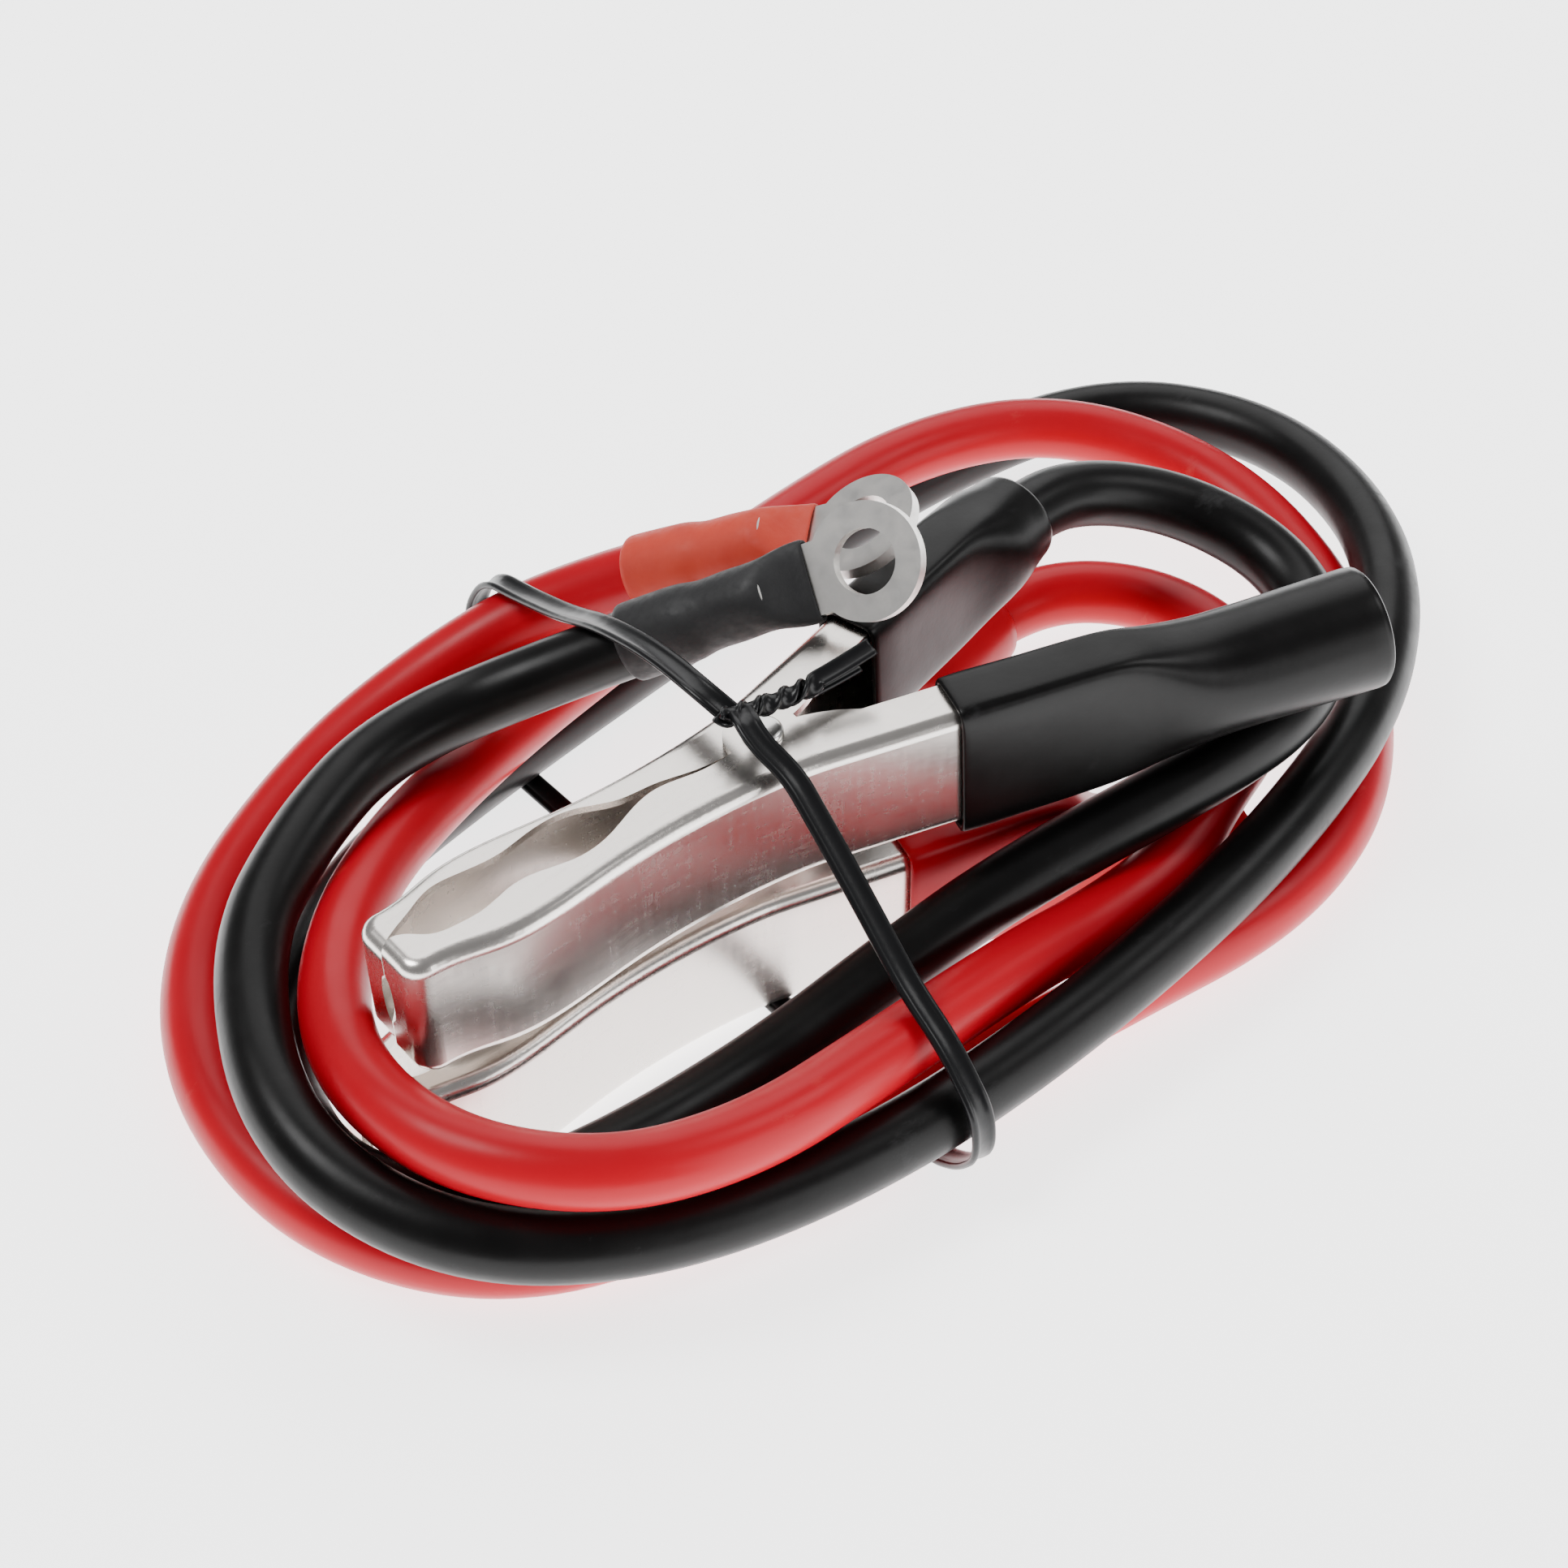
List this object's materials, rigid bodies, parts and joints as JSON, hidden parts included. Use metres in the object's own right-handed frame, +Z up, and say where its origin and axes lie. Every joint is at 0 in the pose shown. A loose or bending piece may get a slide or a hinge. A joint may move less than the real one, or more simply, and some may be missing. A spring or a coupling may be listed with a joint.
{
  "type": "battery clip lead pair",
  "caption": "Pair of battery-clip leads, black and red: sprung steel jaw clips on thick cables that end in M8 ring terminals, coiled and held by a wire twist tie",
  "frame": {"origin": "middle of the bundle of two clips and tie in plan, on the surface that it lies on", "axes": "+X along the clips from the jaws' noses toward the handles, +Y from the near handles toward the ring terminals, +Z up"},
  "size_m": [0.2076, 0.1152, 0.0591],
  "materials": {
    "clip_steel": "satin nickel plate with fine brush marks",
    "rivet_steel": "satin nickel plate",
    "spring_steel": "plain drawn wire",
    "black_sleeve_pvc": "smooth dipped soft PVC, satin",
    "black_cable_pvc": "satin extruded PVC jacket",
    "tinned_copper": "tinned, slightly mottled",
    "bare_copper": "stranded bare copper",
    "black_heat_shrink": "matte shrunk polyolefin",
    "red_sleeve_pvc": "smooth dipped soft PVC, satin",
    "red_cable_pvc": "satin extruded PVC jacket",
    "red_heat_shrink": "matte shrunk polyolefin",
    "tie_plastic": "glossy PVC over a steel wire"
  },
  "bodies": {
    "bundle": {"black_cable_jaw": "clip_steel", "black_pivot_rivet": "rivet_steel", "black_spring_coil": "spring_steel", "black_cable_handle_sleeve": "black_sleeve_pvc", "black_cable": "black_cable_pvc", "black_clip_crimp": "tinned_copper", "black_ring_terminal": "tinned_copper", "black_clip_conductor": "bare_copper", "black_ring_conductor": "bare_copper", "black_heat_shrink": "black_heat_shrink", "red_cable_jaw": "clip_steel", "red_pivot_rivet": "rivet_steel", "red_spring_coil": "spring_steel", "red_cable_handle_sleeve": "red_sleeve_pvc", "red_cable": "red_cable_pvc", "red_clip_crimp": "tinned_copper", "red_ring_terminal": "tinned_copper", "red_clip_conductor": "bare_copper", "red_ring_conductor": "bare_copper", "red_heat_shrink": "red_heat_shrink", "twist_tie": "tie_plastic"},
    "black_free_lever": {"black_free_jaw": "clip_steel", "black_free_handle_sleeve": "black_sleeve_pvc", "black_spring_end_turn": "spring_steel"},
    "red_free_lever": {"red_free_jaw": "clip_steel", "red_free_handle_sleeve": "red_sleeve_pvc", "red_spring_end_turn": "spring_steel"}
  },
  "joints": [
    {"name": "black_clip_hinge", "type": "hinge", "parent": "bundle", "child": "black_free_lever", "pos_m": [-0.00893, -0.00819, 0.03393], "axis": [-0.0523, 0.0023, 0.9986], "range_deg": [0, 18], "stiffness_Nm_per_rad": 1, "springref_deg": -28.65},
    {"name": "red_clip_hinge", "type": "hinge", "parent": "bundle", "child": "red_free_lever", "pos_m": [-0.01421, -0.00527, 0.01045], "axis": [0, 0, 1], "range_deg": [0, 6.5], "stiffness_Nm_per_rad": 1, "springref_deg": -28.65}
  ]
}
